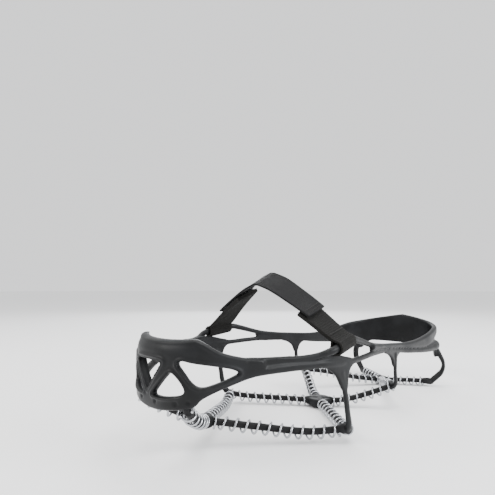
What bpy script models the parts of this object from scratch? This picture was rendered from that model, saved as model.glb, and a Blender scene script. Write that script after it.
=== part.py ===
"""Shoe ice cleat: an elastic rubber harness that stretches over a boot.

Steel spring coils are wound on the cords under the sole, and a webbing strap crosses
the instep. The cleat is modelled in its worn, stretched shape, standing on its coils.
Metres, +Z up, toe towards -Y, +X the outer side. The origin is the centre of the
footprint, on the ground.
"""

import math

import bmesh
import bpy
from mathutils import Vector

MM = 0.001

# Half outline of the boot at the height of the harness, from toe centre to heel centre
HALF_OUTLINE = [
    (0, -157.4), (13, -156.2), (25, -150.4), (35, -138.6), (43.2, -121.5), (50, -102), (56.5, -83),
    (60, -64), (60, -42), (56, -14), (51, 14), (48.5, 45), (48, 80), (47, 110), (42, 134),
    (31, 149), (16, 155.8), (0, 157.6),
]
SEAM = 0.3  # gap between neighbouring pieces

# Steel coils on rubber cords
COIL_RADIUS = 3.7  # to the centre of the wire
WIRE_RADIUS = 0.7
COIL_PITCH = 7.4
POINTS_PER_TURN = 8
CORD_RADIUS = 2.4
GROUND = COIL_RADIUS + WIRE_RADIUS  # height of a cord whose coil stands on the ground

# Joints of the cords under the sole: centre, radius, half height
TOE_JOINT = (0, -121, 15.2)
FRONT_CORNER = (57.5, -50.5, 7.6)
HUB = (0, -2, GROUND)
ARCH_CORNER = (45, 37, 18)
REAR_JOINT = (0, 106, GROUND)
HEEL_CORNER = (38, 134, GROUND + 0.4)
STUB_TOP = (23.5, -149.5, 30)
BOSS_RADIUS = 5.2
BOSS_HALF = 3.9
CORD_INSET = 1.2  # a sloping cord's end stays this far from the boss that it meets
HUB_RADIUS = 10.2

# Toe bumper, as a flat pattern: distance along the toe from its centre, height
BUMPER_END = 56
BUMPER_THICK = 4
BUMPER_EDGE = [
    (0, 31.6), (10, 32.2), (20, 33.3), (27, 34.2), (30.5, 35.8), (32.4, 38.6), (39.8, 42.5), (48.8, 45.8),
    (56, 48.2), (56, 59.6), (47.2, 61.8), (42, 63.6), (38.5, 65.8), (34.5, 68.4), (29.8, 70.4),
    (24.8, 71), (13.5, 70.2), (0, 69.6),
]
CENTRE_WINDOW = [(10.6, 58.7), (12.4, 57.6), (1, 41.8)]
FLANK_WINDOW = [
    (16.6, 52.4), (17.8, 52), (20.8, 49.8), (23.3, 46.5), (24.6, 43.2), (23, 41.3), (17.5, 40.3),
    (11.2, 39.9), (6.8, 41),
]
SIDE_WINDOW = [
    (21.8, 57.6), (23.2, 58.7), (27.5, 57.8), (40.5, 56), (48.2, 54.2), (51, 52.1), (45.2, 48.9),
    (34.8, 45.7), (31, 45.8), (27.8, 48.3), (24.8, 52.5),
]
TOE_LEAN = 0.06  # how far the bumper leans back for each millimetre of height

# Instep strap and the round bars that it hangs on
BAR_FRONT = (64.4, -73, 60.8)
BAR_BACK = (60.6, -47, 64.6)
BAR_DIAMETER = 5
LOOP_INNER = 3.2
LOOP_OUTER = 4.8
STRAP_WIDTH = 21
STRAP_LEAN = 0.2  # how far the strap leans to the toe for each millimetre of height
LEAN_START = 68  # height at which the lean begins
STRAP_ARCH = [(62.5, 62.7), (52.5, 69.6), (40, 78.6), (27, 86.8), (12, 95.4), (0, 99.7)]
TAIL_LAYER = (0.4, 3.4)
TAB_LAYER = (0.4, 2.0)
LOOP_TAPE_LAYER = (2.3, 3.1)
HOOK_TAPE_LAYER = (3.4, 4.2)
STRAP_LAYER = (4.5, 6.1)
STRAP_MARGIN = 0.5  # how far the strap stands out beyond the webbing, each side
TAPE_INSET = 1  # and how far the tapes lie inside it
# Along the arch from a bar: where the doubled webbing ends and the strap starts
STRAP_TAIL_END = 34
TAB_TAIL_END = 52
STRAP_START = 26
# Near and far ends of the tapes, from the tab's bar
HOOK_TAPE_SPAN = (27, 50)
LOOP_TAPE_SPAN = (20, 51)

# Cross-sections of the bands: height from -1 to 1, depth from 0 at the boot to 1
ROUND_SECTION = [
    (-0.6, 0), (0.6, 0), (1, 0.3), (1, 0.7), (0.6, 1), (-0.6, 1), (-1, 0.7), (-1, 0.3),
]
RIDGED_SECTION = [
    (-0.8, 0), (0.8, 0), (1, 0.35), (0.85, 0.95), (0.5, 1), (0.2, 0.8), (0.1, 0.5),
    (0, 0.75), (-0.6, 0.85), (-1, 0.4),
]
HEEL_SECTION = [
    (-0.9, 0), (0.9, 0), (1, 0.5), (0.93, 1), (0.72, 1), (0.55, 0.5), (0, 0.45),
    (-0.3, 0.85), (-0.65, 1), (-0.95, 0.6),
]


def clear_scene():
    for obj in list(bpy.data.objects):
        bpy.data.objects.remove(obj, do_unlink=True)


def new_collection(name):
    made = bpy.data.collections.new(name)
    bpy.context.scene.collection.children.link(made)
    return made


def principled(name, colour, roughness, metallic=0.0):
    made = bpy.data.materials.new(name)
    made.use_nodes = True
    shader = made.node_tree.nodes["Principled BSDF"]
    shader.inputs["Base Color"].default_value = (*colour, 1)
    shader.inputs["Roughness"].default_value = roughness
    shader.inputs["Metallic"].default_value = metallic
    return made


def smooth_path(points, steps=8):
    """Points on a Catmull-Rom curve through the given ones."""
    given = [Vector((*p, 0)[:3]) for p in points]
    ends = [2 * given[0] - given[1], *given, 2 * given[-1] - given[-2]]
    path = []
    for a, b, c, d in zip(ends, ends[1:], ends[2:], ends[3:]):
        for step in range(steps):
            t = step / steps
            path.append(
                0.5 * (2 * b + (c - a) * t + (2 * a - 5 * b + 4 * c - d) * t**2
                       + (3 * b - a - 3 * c + d) * t**3)
            )
    return [*path, given[-1]]


def cumulative(path):
    lengths = [0.0]
    for a, b in zip(path, path[1:]):
        lengths.append(lengths[-1] + (b - a).length)
    return lengths


def point_at(path, lengths, distance):
    """(point, unit direction) at a distance along a path."""
    last = len(path) - 2
    i = next((k for k in range(last) if lengths[k + 1] >= distance), last)
    direction = (path[i + 1] - path[i]).normalized()
    return path[i] + direction * (distance - lengths[i]), direction


def resampled(path, count):
    lengths = cumulative(path)
    return [point_at(path, lengths, lengths[-1] * k / count)[0] for k in range(count + 1)]


def across_axis(point):
    return (-point[0], point[1])


OUTLINE_STEPS = 8
OUTLINE = smooth_path(
    [across_axis(HALF_OUTLINE[1]), *HALF_OUTLINE, across_axis(HALF_OUTLINE[-2])], OUTLINE_STEPS
)[OUTLINE_STEPS:-OUTLINE_STEPS]
OUTLINE_LENGTHS = cumulative(OUTLINE)
HALF_GIRTH = OUTLINE_LENGTHS[-1]


def distance_at(y):
    """How far along the half outline it reaches this y, counted from the toe centre."""
    for k in range(len(OUTLINE) - 1):
        a, b = OUTLINE[k], OUTLINE[k + 1]
        if a.y <= y <= b.y:
            share = (y - a.y) / max(b.y - a.y, 1e-9)
            return OUTLINE_LENGTHS[k] + share * (b - a).length
    return HALF_GIRTH


def wall(distance, height):
    """(point, outward normal) on the boot's side; the distance is negative on the left."""
    place, along = point_at(OUTLINE, OUTLINE_LENGTHS, abs(distance))
    sign = -1 if distance < 0 else 1
    normal = Vector((along.y * sign, -along.x, 0))
    return Vector((place.x * sign, place.y, height)), normal


def toe_shape(vector):
    """Wraps a flat pattern point (distance, height, depth) round the leaning toe."""
    place, normal = wall(vector.x, vector.y)
    fade = max(0.0, 1 - abs(vector.x) / BUMPER_END)
    return place + normal * (vector.z - TOE_LEAN * fade * (vector.y - BUMPER_EDGE[0][1]))


class Workshop:
    """The collections, the materials and the calls that turn shapes into named pieces."""

    def __init__(self):
        self.pieces = new_collection("shoe_ice_cleat")
        self.rubber = principled("rubber", (0.045, 0.046, 0.05), 0.62)
        self.steel = principled("coil_steel", (0.72, 0.73, 0.74), 0.25, 1.0)
        self.webbing = principled("webbing", (0.012, 0.012, 0.013), 0.85)
        self.tape = principled("hook_and_loop", (0.008, 0.008, 0.009), 0.95)

    def finish(self, name, mesh, material):
        mesh.name = name
        mesh.materials.clear()
        mesh.materials.append(material)
        obj = bpy.data.objects.new(name, mesh)
        self.pieces.objects.link(obj)
        mesh.shade_smooth()
        mesh.set_sharp_from_angle(angle=math.radians(40))
        return obj

    def from_bmesh(self, name, shape, material):
        bmesh.ops.recalc_face_normals(shape, faces=shape.faces)
        if shape.calc_volume(signed=True) < 0:
            bmesh.ops.reverse_faces(shape, faces=shape.faces)
        mesh = bpy.data.meshes.new(name)
        shape.to_mesh(mesh)
        shape.free()
        return self.finish(name, mesh, material)

    def loft(self, name, rings, material, closed=False):
        """A solid through rings of equal size, in millimetres, with flat ends."""
        shape = bmesh.new()
        loops = [[shape.verts.new(v * MM) for v in ring] for ring in rings]
        follow = loops[1:] + (loops[:1] if closed else [])
        for a, b in zip(loops, follow):
            for k in range(len(a)):
                n = (k + 1) % len(a)
                shape.faces.new((a[k], a[n], b[n], b[k]))
        if not closed:
            shape.faces.new(loops[0])
            shape.faces.new(loops[-1])
        return self.from_bmesh(name, shape, material)

    def tube(self, name, path, radius, material, sides):
        """A wire or a cord: a poly curve with a round bevel and filled caps."""
        data = bpy.data.curves.new(name, "CURVE")
        data.dimensions = "3D"
        data.bevel_depth = radius * MM
        data.bevel_resolution = (sides - 4) // 2
        data.use_fill_caps = True
        spline = data.splines.new("POLY")
        spline.points.add(len(path) - 1)
        for point, place in zip(spline.points, path):
            point.co = (*(place * MM), 1)
        obj = bpy.data.objects.new(name, data)
        obj.data.materials.append(material)
        self.pieces.objects.link(obj)
        return obj

    def plate(self, outlines, thick):
        """A flat mesh from closed outlines, the first outside and the others its holes."""
        data = bpy.data.curves.new("pattern", "CURVE")
        data.dimensions = "2D"
        data.fill_mode = "BOTH"
        data.extrude = thick * MM / 2
        for outline in outlines:
            spline = data.splines.new("POLY")
            spline.points.add(len(outline) - 1)
            for point, (x, y) in zip(spline.points, outline):
                point.co = (x * MM, y * MM, 0, 1)
            spline.use_cyclic_u = True
        flat = bpy.data.objects.new("pattern", data)
        bpy.context.scene.collection.objects.link(flat)
        graph = bpy.context.evaluated_depsgraph_get()
        mesh = bpy.data.meshes.new_from_object(flat.evaluated_get(graph))
        bpy.data.objects.remove(flat, do_unlink=True)
        shape = bmesh.new()
        shape.from_mesh(mesh)
        bpy.data.meshes.remove(mesh)
        bmesh.ops.remove_doubles(shape, verts=shape.verts, dist=1e-6)
        return shape


def mirrored(half, on_axis=False):
    """A closed outline from its right half, which starts and ends on the axis or not."""
    left = [(-x, y) for x, y in reversed(half)]
    return half + (left[1:-1] if on_axis else left)


def slice_across(shape, start, end, step):
    """Cuts a flat pattern into strips, so that it can bend."""
    for k in range(int((end - start) / step) + 1):
        geometry = [*shape.verts, *shape.edges, *shape.faces]
        bmesh.ops.bisect_plane(
            shape, geom=geometry, dist=1e-7, plane_co=((start + k * step) * MM, 0, 0),
            plane_no=(1, 0, 0),
        )


def make_bumper(shop):
    edge = mirrored(BUMPER_EDGE, on_axis=True)
    holes = [mirrored(CENTRE_WINDOW)]
    for window in (FLANK_WINDOW, SIDE_WINDOW):
        holes += [window, [(-x, z) for x, z in window]]
    shape = shop.plate([edge, *holes], BUMPER_THICK)
    slice_across(shape, -49, 49, 7)
    for vert in shape.verts:
        flat = vert.co / MM
        flat.z += BUMPER_THICK / 2
        vert.co = toe_shape(flat) * MM
    bmesh.ops.triangulate(shape, faces=shape.faces)
    shop.from_bmesh("toe_bumper", shape, shop.rubber)


def section_ring(section, place, normal, up, height, thick):
    return [place + up * (v * height / 2) + normal * (w * thick) for v, w in section]


def band(shop, name, side, stations, section=ROUND_SECTION):
    """A rubber band along the boot's side. Each station: y, height, band height, depth."""
    places = [wall(side * distance_at(y), z) for y, z, _, _ in stations]
    rings = []
    for k, ((place, normal), station) in enumerate(zip(places, stations)):
        ahead = places[min(k + 1, len(places) - 1)][0] - places[max(k - 1, 0)][0]
        up = normal.cross(ahead).normalized()
        up = up if up.z > 0 else -up
        rings.append(section_ring(section, place, normal, up, station[2], station[3]))
    shop.loft(name, rings, shop.rubber)


def strut(shop, name, side, stations):
    """A rubber bar down the side. Each station: point, outward normal, width, depth."""
    rings = []
    mirror = Vector((side, 1, 1))
    for k, (place, normal, width, thick) in enumerate(stations):
        ahead = Vector(stations[min(k + 1, len(stations) - 1)][0])
        behind = Vector(stations[max(k - 1, 0)][0])
        across = Vector(normal).cross(ahead - behind).normalized()
        ring = section_ring(
            ROUND_SECTION, Vector(place), Vector(normal).normalized(), across, width, thick
        )
        rings.append([v * mirror for v in ring])
    shop.loft(name, rings, shop.rubber)


def side_name(side):
    return "right" if side > 0 else "left"


def make_rails(shop):
    for side in (1, -1):
        end = side_name(side)
        band(shop, f"front_rail_{end}", side, [
            (-120.3, 54.4, 10.4, 3.8), (-108, 54.5, 9, 3.6), (-92, 54.3, 8.2, 3.6),
            (-77, 54, 7.6, 3.6), (-68, 52.6, 7, 3.6), (-59.5, 51.4, 7, 3.6),
        ])
        band(shop, f"side_branch_{end}", side, [
            (-58.9, 51.3, 4.6, 3.2), (-46, 51.1, 4, 3), (-31, 51.2, 4, 3), (-16.3, 51.4, 4, 3.2),
        ])
        band(shop, f"mid_rail_{end}", side, [
            (-15.7, 54, 9, 3.8), (0, 52.4, 8, 3.8), (24, 50.3, 7.6, 4), (44.7, 48.5, 9.3, 4),
        ], RIDGED_SECTION)
        band(shop, f"rear_rail_{end}", side, [
            (45, 48.5, 9.3, 4), (72, 46.8, 11.4, 4.2), (99.7, 46.4, 12.4, 4.4),
        ], RIDGED_SECTION)


def make_strap_bars(shop):
    """The round bars that the strap's end loops turn on."""
    front, back = Vector(BAR_FRONT), Vector(BAR_BACK)
    bar = BAR_DIAMETER
    for side in (1, -1):
        inward = Vector((bar / 2, 0, 0))
        stations = [
            (Vector((59, -83, 60.6)), 3.4, 3.2),
            (Vector((60.6, -78, 61)), 4.2, 4),
            (front - inward, bar, bar),
            (back - inward, bar, bar),
            (Vector((57.4, -36, 62)), 4.8, 4),
            (Vector((56.6, -16.3, 56.1)), 4.4, 3.6),
        ]
        strut(shop, f"strap_bar_{side_name(side)}", side, [
            (place, (1, 0, 0), width, thick) for place, width, thick in stations
        ])


def make_struts(shop):
    for side in (1, -1):
        end = side_name(side)
        strut(shop, f"front_strut_{end}", side, [
            ((60.2, -62.4, 47.2), (1, 0, 0), 13, 3.2), ((60.8, -60.6, 41), (1, 0, 0), 8, 3),
            ((61, -57.8, 30), (1, 0, 0), 5.4, 2.8), ((60.8, -55, 18), (1, 0, 0), 5.4, 2.8),
            ((59, -53.4, 12.1), (1, 0, 0), 6.6, 4),
        ])
        strut(shop, f"arch_strut_{end}", side, [
            ((49.2, 30.6, 44.7), (1, 0, 0), 12, 3.2), ((49, 30.2, 40), (1, 0, 0), 7, 3),
            ((49, 29.5, 34), (1, 0, 0), 4.6, 2.8), ((49, 30.5, 26), (1, 0, 0), 4.6, 2.8),
            ((50.2, 32.6, 21.8), (1, 0, -0.5), 5, 3), ((51, 34.4, 20.4), (0.6, 0, -1), 5, 3.2),
        ])
        strut(shop, f"heel_strut_{end}", side, [
            ((41.4, 136.4, 36.6), (1, 0.45, 0), 10, 3.4), ((45.8, 138.2, 30), (1, 0.45, 0), 7.4, 3.2),
            ((47.4, 139, 22), (1, 0.45, 0), 6.4, 3), ((44.6, 137.6, 13.4), (1, 0.45, 0), 6.2, 3.2),
            ((40.4, 135.6, 9.2), (1, 0.45, 0), 6.6, 4),
        ])


def make_heel(shop):
    """A profiled band round the heel, tallest at the back, where it makes a pull tab."""
    right = [
        (100.3, 46.4, 12.6, 4.4), (112, 46.6, 15, 4.4), (124, 47, 19, 4.4), (135, 48, 22, 4.4),
        (143, 48.8, 24.5, 4.4), (149.5, 49.4, 26, 4.4), (154, 50, 28, 4.4), (156.6, 51, 31, 4.4),
    ]
    stations = [(distance_at(y), z, height, thick) for y, z, height, thick in right]
    stations.append((HALF_GIRTH, 52, 33, 4.4))
    stations += [(-distance, *rest) for distance, *rest in reversed(stations[:-1])]
    rings = []
    for distance, z, height, thick in stations:
        place, normal = wall(distance, z)
        if distance == HALF_GIRTH:
            normal = Vector((0, 1, 0))
        rings.append(section_ring(HEEL_SECTION, place, normal, Vector((0, 0, 1)), height, thick))
    shop.loft("heel_band", rings, shop.rubber)


def turned(shop, name, centre, profile):
    """A turned piece: a profile of (radius, height), top to bottom, spun round Z."""
    mesh = bpy.data.meshes.new(name)
    shape = bmesh.new()
    verts = [shape.verts.new((r * MM, 0, z * MM)) for r, z in profile]
    for a, b in zip(verts, verts[1:]):
        shape.edges.new((a, b))
    shape.to_mesh(mesh)
    shape.free()
    obj = shop.finish(name, mesh, shop.rubber)
    obj.location = Vector(centre) * MM
    spin = obj.modifiers.new("turn", "SCREW")
    spin.steps = spin.render_steps = 14
    spin.use_merge_vertices = True
    spin.merge_threshold = 1e-5
    spin.use_smooth_shade = True


def make_joints(shop):
    """The bosses where cords and struts meet, and the hub with its round button."""
    r, h = BOSS_RADIUS, BOSS_HALF
    boss = [(0, h), (r - 1, h), (r, h - 1.2), (r, 1.2 - h), (r - 1, -h), (0, -h)]
    turned(shop, "toe_joint", TOE_JOINT, boss)
    turned(shop, "rear_joint", REAR_JOINT, boss)
    for side in (1, -1):
        for name, (x, y, z) in (
            ("front_corner", FRONT_CORNER), ("arch_corner", ARCH_CORNER),
            ("heel_corner", HEEL_CORNER),
        ):
            turned(shop, f"{name}_{side_name(side)}", (side * x, y, z), boss)
    r = HUB_RADIUS
    turned(shop, "centre_hub", HUB, [
        (0, 3.2), (r - 1.2, 3.2), (r, 2.2), (r, -1.2), (r - 1, -2), (6.8, -2.2),
        (6.4, -3.6), (5.2, -4.1), (0, -4.1),
    ])


def cord_routes():
    """name: (smooth route, radius of the joint at its start, and at its end)."""
    boss = BOSS_RADIUS + CORD_INSET
    return {
        "toe_stub": ([TOE_JOINT, (12, -134.5, 20.5), STUB_TOP], boss, 0),
        "toe_run": ([TOE_JOINT, (20, -96, 9.8), (41, -70, 5.4), FRONT_CORNER], boss, boss),
        "front_run": ([FRONT_CORNER, (45, -40, 5.2), HUB], boss, HUB_RADIUS + CORD_INSET),
        "arch_run": ([HUB, (16, 11, 5.6), (31, 25, 11), ARCH_CORNER], HUB_RADIUS + CORD_INSET, boss),
        "rear_run": ([ARCH_CORNER, (31, 57, 14), (15, 82, 7.6), REAR_JOINT], boss, boss),
        "heel_run": ([REAR_JOINT, HEEL_CORNER], boss, boss),
    }


def trimmed(route, start, end, side):
    path = [Vector((v.x * side, v.y, v.z)) for v in smooth_path(route, 12)]
    lengths = cumulative(path)
    span = lengths[-1] - start - end
    return [point_at(path, lengths, start + span * k / 24)[0] for k in range(25)]


def helix(path, turns, side):
    """A coil round a path, its hand the same on both sides of the cleat."""
    lengths = cumulative(path)
    count = round(turns * POINTS_PER_TURN)
    points = []
    for k in range(count + 1):
        place, along = point_at(path, lengths, lengths[-1] * k / count)
        flat = along.cross(Vector((0, 0, 1))).normalized()
        rise = flat.cross(along)
        angle = 2 * math.pi * k / POINTS_PER_TURN * side
        points.append(place + (flat * math.sin(angle) - rise * math.cos(angle)) * COIL_RADIUS)
    return points


def make_cords(shop):
    for name, (route, start, end) in cord_routes().items():
        for side in (1, -1):
            path = trimmed(route, start, end, side)
            length = cumulative(path)[-1]
            label = f"{name}_{side_name(side)}"
            pieces = 3 if len(route) == 2 else 6
            shop.tube(f"{label}_cord", resampled(path, pieces), CORD_RADIUS, shop.rubber, 8)
            inset = WIRE_RADIUS + SEAM
            coil_path = trimmed(route, start + inset, end + inset, side)
            turns = round(length / COIL_PITCH * 2) / 2
            shop.tube(f"{label}_coil", helix(coil_path, turns, side), WIRE_RADIUS, shop.steel, 4)


def arch_path():
    half = smooth_path([(x, z, 0) for x, z in STRAP_ARCH], 5)
    return half + [Vector((-v.x, v.y, 0)) for v in reversed(half[:-1])]


def arch_strip(start, end, layer):
    """The outline of a strip of the strap seen from the front, between two distances."""
    path = arch_path()
    lengths = cumulative(path)
    count = max(4, round((end - start) / 7))
    inner, outer = [], []
    for k in range(count + 1):
        place, along = point_at(path, lengths, start + (end - start) * k / count)
        outward = Vector((along.y, -along.x, 0))
        outward = outward if outward.dot(place - Vector((0, 60, 0))) > 0 else -outward
        inner.append((place + outward * layer[0]).xy)
        outer.append((place + outward * layer[1]).xy)
    return inner + outer[::-1]


def strap_piece(shop, name, outlines, width, material):
    """A strap part: its front outline, in X and Z, given its width along the bars."""
    shape = shop.plate([[tuple(p) for p in outline] for outline in outlines], width)
    middle = (BAR_FRONT[1] + BAR_BACK[1]) / 2
    bar = Vector(BAR_BACK) - Vector(BAR_FRONT)
    for vert in shape.verts:
        x, z, across = vert.co / MM
        lean = STRAP_LEAN * max(0, z - LEAN_START)
        inward = bar.x * across / bar.y * x / STRAP_ARCH[0][0]
        vert.co = Vector((x - inward, middle - across - lean, z - bar.z * across / bar.y)) * MM
    shop.from_bmesh(name, shape, material)


def loop_outline(tail_end, layer, side):
    """A ring round the strap bar that runs on into a doubled tail up the arch."""
    centre = Vector(STRAP_ARCH[0])
    tail = arch_strip(LOOP_OUTER - 0.6, tail_end, layer)
    half = len(tail) // 2
    inner, outer = tail[:half], tail[half:]
    first = math.atan2(outer[-1].y - centre.y, outer[-1].x - centre.x)
    last = math.atan2(inner[0].y - centre.y, inner[0].x - centre.x) - 2 * math.pi
    ring = [
        centre + LOOP_OUTER * Vector((math.cos(a), math.sin(a)))
        for a in (first + (last - first) * k / 14 for k in range(1, 14))
    ]
    hole = [
        centre + LOOP_INNER * Vector((math.cos(a), math.sin(a)))
        for a in (2 * math.pi * k / 14 for k in range(14))
    ]
    turn = Vector((side, 1))
    return [[v * turn for v in inner + outer + ring], [v * turn for v in hole]]


def make_strap(shop):
    total = cumulative(arch_path())[-1]
    end_loop = loop_outline(STRAP_TAIL_END, TAIL_LAYER, 1)
    tab_loop = loop_outline(TAB_TAIL_END, TAB_LAYER, -1)
    strap = arch_strip(STRAP_START, total - STRAP_START, STRAP_LAYER)
    hooks = arch_strip(total - HOOK_TAPE_SPAN[1], total - HOOK_TAPE_SPAN[0], HOOK_TAPE_LAYER)
    loops = arch_strip(total - LOOP_TAPE_SPAN[1], total - LOOP_TAPE_SPAN[0], LOOP_TAPE_LAYER)
    strap_piece(shop, "strap_end_loop", end_loop, STRAP_WIDTH, shop.webbing)
    strap_piece(shop, "tab_end_loop", tab_loop, STRAP_WIDTH, shop.webbing)
    strap_piece(shop, "instep_strap", [strap], STRAP_WIDTH + 2 * STRAP_MARGIN, shop.webbing)
    strap_piece(shop, "hook_tape", [hooks], STRAP_WIDTH - 2 * TAPE_INSET, shop.tape)
    strap_piece(shop, "loop_tape", [loops], STRAP_WIDTH - 2 * TAPE_INSET, shop.tape)


def main():
    clear_scene()
    shop = Workshop()
    make_bumper(shop)
    make_rails(shop)
    make_strap_bars(shop)
    make_struts(shop)
    make_heel(shop)
    make_joints(shop)
    make_cords(shop)
    make_strap(shop)


main()
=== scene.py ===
import math

import bpy
import numpy as np
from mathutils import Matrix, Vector


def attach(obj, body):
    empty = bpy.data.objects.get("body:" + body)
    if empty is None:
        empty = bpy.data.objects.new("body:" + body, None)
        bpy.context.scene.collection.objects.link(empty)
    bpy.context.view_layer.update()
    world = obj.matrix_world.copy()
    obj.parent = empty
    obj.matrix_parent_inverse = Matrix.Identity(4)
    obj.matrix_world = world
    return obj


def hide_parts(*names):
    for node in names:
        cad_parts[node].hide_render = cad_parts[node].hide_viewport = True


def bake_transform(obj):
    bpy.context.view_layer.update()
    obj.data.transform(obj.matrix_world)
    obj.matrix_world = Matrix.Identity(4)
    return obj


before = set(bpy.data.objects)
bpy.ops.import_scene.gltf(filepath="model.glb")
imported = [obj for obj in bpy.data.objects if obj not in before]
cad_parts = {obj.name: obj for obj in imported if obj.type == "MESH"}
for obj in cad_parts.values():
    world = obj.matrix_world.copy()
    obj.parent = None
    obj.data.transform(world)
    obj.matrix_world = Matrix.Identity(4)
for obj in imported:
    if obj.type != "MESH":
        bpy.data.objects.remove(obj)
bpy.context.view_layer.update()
mm = 0.001

view = {"place": (198.7, -271.7, 97.1), "turn": 46.7, "tilt": 6.3, "lens": 27.55}
studio = {
    "floorSize": 40, "floorColour": (0.9, 0.9, 0.9), "worldColour": (0.95, 0.955, 0.965),
    "worldStrength": 1.35,
    # place, aim, size, power and colour of each soft light
    "lights": [
        ((-0.5, -0.95, 0.8), (0, -0.08, 0.05), 0.5, 9, (1.0, 0.985, 0.96)),
        ((1.0, 0.35, 0.55), (0.03, 0.08, 0.05), 0.6, 15, (0.95, 0.97, 1.0)),
        ((0.1, 0.1, 1.25), (0, 0, 0.05), 0.9, 13, (1.0, 1.0, 1.0)),
        ((-0.9, 0.8, 0.6), (0, 0.05, 0.05), 0.8, 6, (0.95, 0.97, 1.0)),
    ],
}


def makeCamera():
    camera = bpy.data.objects.new("camera", bpy.data.cameras.new("camera"))
    bpy.context.scene.collection.objects.link(camera)
    camera.location = Vector(view["place"]) * mm
    camera.rotation_euler = (math.radians(90 + view["tilt"]), 0, math.radians(view["turn"]))
    camera.data.lens = view["lens"]
    camera.data.clip_start = 0.01
    bpy.context.scene.camera = camera


def deselectAll():
    if bpy.context.object and bpy.context.object.mode != "OBJECT":
        bpy.ops.object.mode_set(mode="OBJECT")
    bpy.ops.object.select_all(action="DESELECT")


def pick(*objs):
    deselectAll()
    for obj in objs:
        obj.select_set(True)
    bpy.context.view_layer.objects.active = objs[0]
    return objs[0]


def settle(obj):
    # an object's place, turn and size go into its mesh
    pick(obj)
    bpy.ops.object.transform_apply(location=True, rotation=True, scale=True)
    return obj


def asMesh(obj):
    pick(obj)
    bpy.ops.object.convert(target="MESH")
    return settle(bpy.context.object)


def joinAll(name, parts):
    pick(*parts)
    bpy.ops.object.join()
    obj = bpy.context.object
    obj.name = obj.data.name = name
    return obj


def applyAll(obj):
    pick(obj)
    for modifier in list(obj.modifiers):
        bpy.ops.object.modifier_apply(modifier=modifier.name)
    return obj


def editAll(obj, *steps):
    # edit mode steps on the whole mesh
    pick(obj)
    bpy.ops.object.mode_set(mode="EDIT")
    bpy.ops.mesh.select_all(action="SELECT")
    for step in steps:
        step()
    bpy.ops.object.mode_set(mode="OBJECT")
    return obj


def dress(obj, material, angle=None):
    # one material, and smooth shading that keeps edges sharper than the angle
    pick(obj)
    if angle:
        bpy.ops.object.shade_smooth_by_angle(angle=math.radians(angle))
    else:
        bpy.ops.object.shade_smooth()
    obj.data.materials.clear()
    obj.data.materials.append(material)
    return obj


def addSkin(obj, facts):
    # melts joined pieces into one skin and softens it
    remesh = obj.modifiers.new("skin", "REMESH")
    remesh.mode = "VOXEL"
    remesh.voxel_size = facts["voxel"] * mm
    soften = obj.modifiers.new("soften", "SMOOTH")
    soften.factor, soften.iterations = facts["factor"], facts["smoothing"]
    return applyAll(obj)


def fixNormals():
    bpy.ops.mesh.normals_make_consistent(inside=False)


def makeStudio():
    bpy.ops.mesh.primitive_plane_add(size=studio["floorSize"])
    floor = bpy.context.object
    floor.name = "floor"
    floor.data.materials.append(plainMaterial("floorPaper", studio["floorColour"], 0.9))
    world = bpy.data.worlds.new("studioWorld")
    world.use_nodes = True
    background = world.node_tree.nodes["Background"]
    background.inputs["Color"].default_value = (*studio["worldColour"], 1)
    background.inputs["Strength"].default_value = studio["worldStrength"]
    bpy.context.scene.world = world
    for number, (place, aim, size, power, colour) in enumerate(studio["lights"]):
        lamp = bpy.data.lights.new(f"softLight{number}", "AREA")
        lamp.size, lamp.energy, lamp.color = size, power, colour
        light = bpy.data.objects.new(lamp.name, lamp)
        light.location = place
        light.rotation_euler = (Vector(aim) - Vector(place)).to_track_quat("-Z", "Y").to_euler()
        bpy.context.scene.collection.objects.link(light)


# Materials, built from shared node groups

def plainMaterial(name, colour, roughness, metallic=0.0):
    material = bpy.data.materials.new(name)
    material.use_nodes = True
    shader = material.node_tree.nodes["Principled BSDF"]
    shader.inputs["Base Color"].default_value = (*colour, 1)
    shader.inputs["Roughness"].default_value = roughness
    shader.inputs["Metallic"].default_value = metallic
    return material


def feed(tree, socket, value):
    if isinstance(value, bpy.types.NodeSocket):
        tree.links.new(value, socket)
    else:
        socket.default_value = value


class Nodes:
    def __init__(self, tree):
        self.tree = tree

    def add(self, kind, inputs=None, **settings):
        node = self.tree.nodes.new(kind)
        for key, value in settings.items():
            setattr(node, key, value)
        for key, value in (inputs or {}).items():
            feed(self.tree, node.inputs[key], value)
        return node

    def math(self, operation, a, b, clamp=False):
        values = {0: a, 1: b}
        return self.add("ShaderNodeMath", values, operation=operation, use_clamp=clamp).outputs[0]

    def spread(self, value, low, high, toLow=0.0, toHigh=1.0):
        return self.add("ShaderNodeMapRange", {
            "Value": value, "From Min": low, "From Max": high, "To Min": toLow, "To Max": toHigh,
        }, interpolation_type="SMOOTHSTEP").outputs[0]

    def noise(self, vector, scale, detail=3.0, roughness=0.55):
        return self.add("ShaderNodeTexNoise", {
            "Vector": vector, "Scale": scale, "Detail": detail, "Roughness": roughness,
        }).outputs["Fac"]

    def blend(self, factor, a, b):
        node = self.add("ShaderNodeMix", data_type="RGBA")
        for number, value in zip((0, 6, 7), (factor, a, b)):
            feed(self.tree, node.inputs[number], value)
        return node.outputs[2]


def newGroup(name, inputs, outputs):
    group = bpy.data.node_groups.new(name, "ShaderNodeTree")
    for label, kind, value in inputs:
        socket = group.interface.new_socket(label, in_out="INPUT", socket_type=kind)
        if value is not None:
            socket.default_value = value
    for label, kind in outputs:
        group.interface.new_socket(label, in_out="OUTPUT", socket_type=kind)
    nodes = Nodes(group)
    return group, nodes, nodes.add("NodeGroupInput").outputs, nodes.add("NodeGroupOutput")


def fill(nodes, output, values):
    for label, value in values.items():
        nodes.tree.links.new(value, output.inputs[label])


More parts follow.
